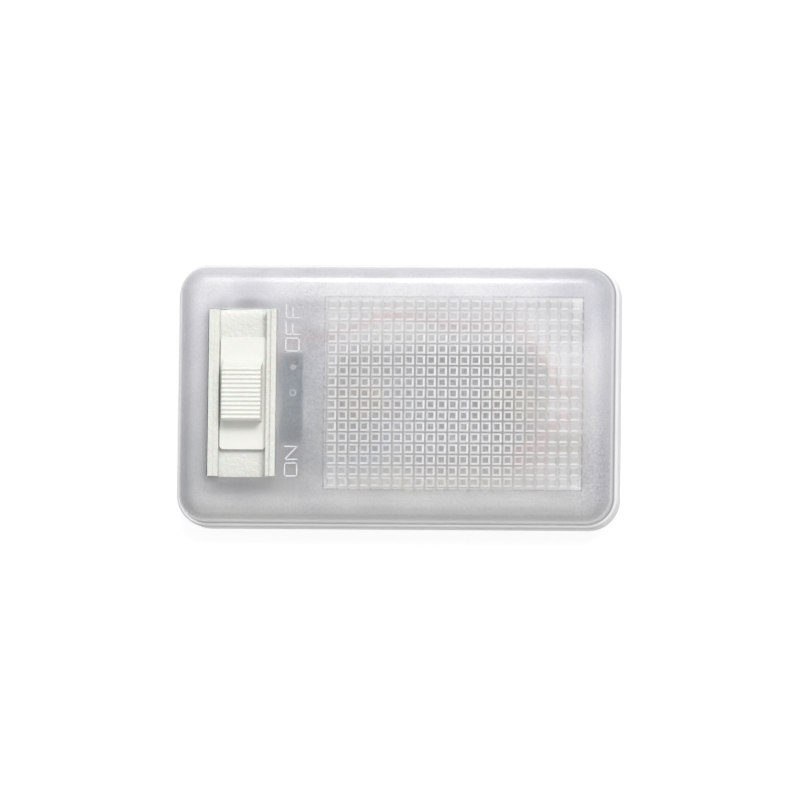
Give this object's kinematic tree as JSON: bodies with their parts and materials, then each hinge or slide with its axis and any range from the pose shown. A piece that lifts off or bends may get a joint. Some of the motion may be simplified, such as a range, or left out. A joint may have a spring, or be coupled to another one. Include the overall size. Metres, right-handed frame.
{
  "type": "car dome light",
  "caption": "Rectangular interior roof lamp with a frosted prism lens, a white base and a sliding switch with a ribbed thumb block.",
  "frame": {"origin": "centre of the base's flat mounting face", "axes": "+Z out of the mounting face through the lens, +X along the long side away from the switch, +Y towards the switch's OFF end"},
  "size_m": [0.1204, 0.0718, 0.0222],
  "materials": {
    "white_housing": "moulded, satin",
    "frosted_lens": "frosted translucent moulding",
    "reflector_metal": "satin sheet",
    "bulb_glass": "clear",
    "bulb_caps": "polished",
    "filament_wire": "drawn tungsten",
    "contact_brass": "stamped",
    "rivet_brass": "turned",
    "cream_frame": "fine grained moulding",
    "cream_slider": "satin moulding",
    "dark_carriage": "moulded",
    "spring_steel": "drawn wire",
    "brown_board": "punched phenolic sheet",
    "plated_steel": "zinc plated",
    "blue_plated_strip": "blue passivated",
    "blade_tin": "tinned",
    "red_lead": "extruded sleeve",
    "blue_lead": "extruded sleeve",
    "yellow_lead": "extruded sleeve"
  },
  "bodies": {
    "housing": {"base": "white_housing", "lens": "frosted_lens", "reflector": "reflector_metal", "bulb_glass": "bulb_glass", "bulb_cap_left": "bulb_caps", "bulb_cap_right": "bulb_caps", "bulb_filament": "filament_wire", "bulb_clip_left": "contact_brass", "bulb_clip_right": "contact_brass", "clip_rivets": "rivet_brass", "switch_frame": "cream_frame", "contact_board": "brown_board", "common_contact": "contact_brass", "door_contact": "contact_brass", "on_contact": "contact_brass", "board_rivets": "plated_steel", "switch_screws": "plated_steel", "ground_strip": "blue_plated_strip", "strip_rivet": "plated_steel", "blade_plus": "blade_tin", "blade_door": "blade_tin", "blade_ground": "blade_tin", "lead_plus": "red_lead", "lead_common": "blue_lead", "lead_door": "red_lead", "lead_ground": "yellow_lead"},
    "slider": {"switch_slider": "cream_slider", "slider_carriage": "dark_carriage", "contact_spring": "spring_steel", "moving_contact": "contact_brass"}
  },
  "joints": [
    {"name": "switch_slide", "type": "slide", "parent": "housing", "child": "slider", "axis": [0, 1, 0], "range_m": [-0.007, 0.007]}
  ]
}
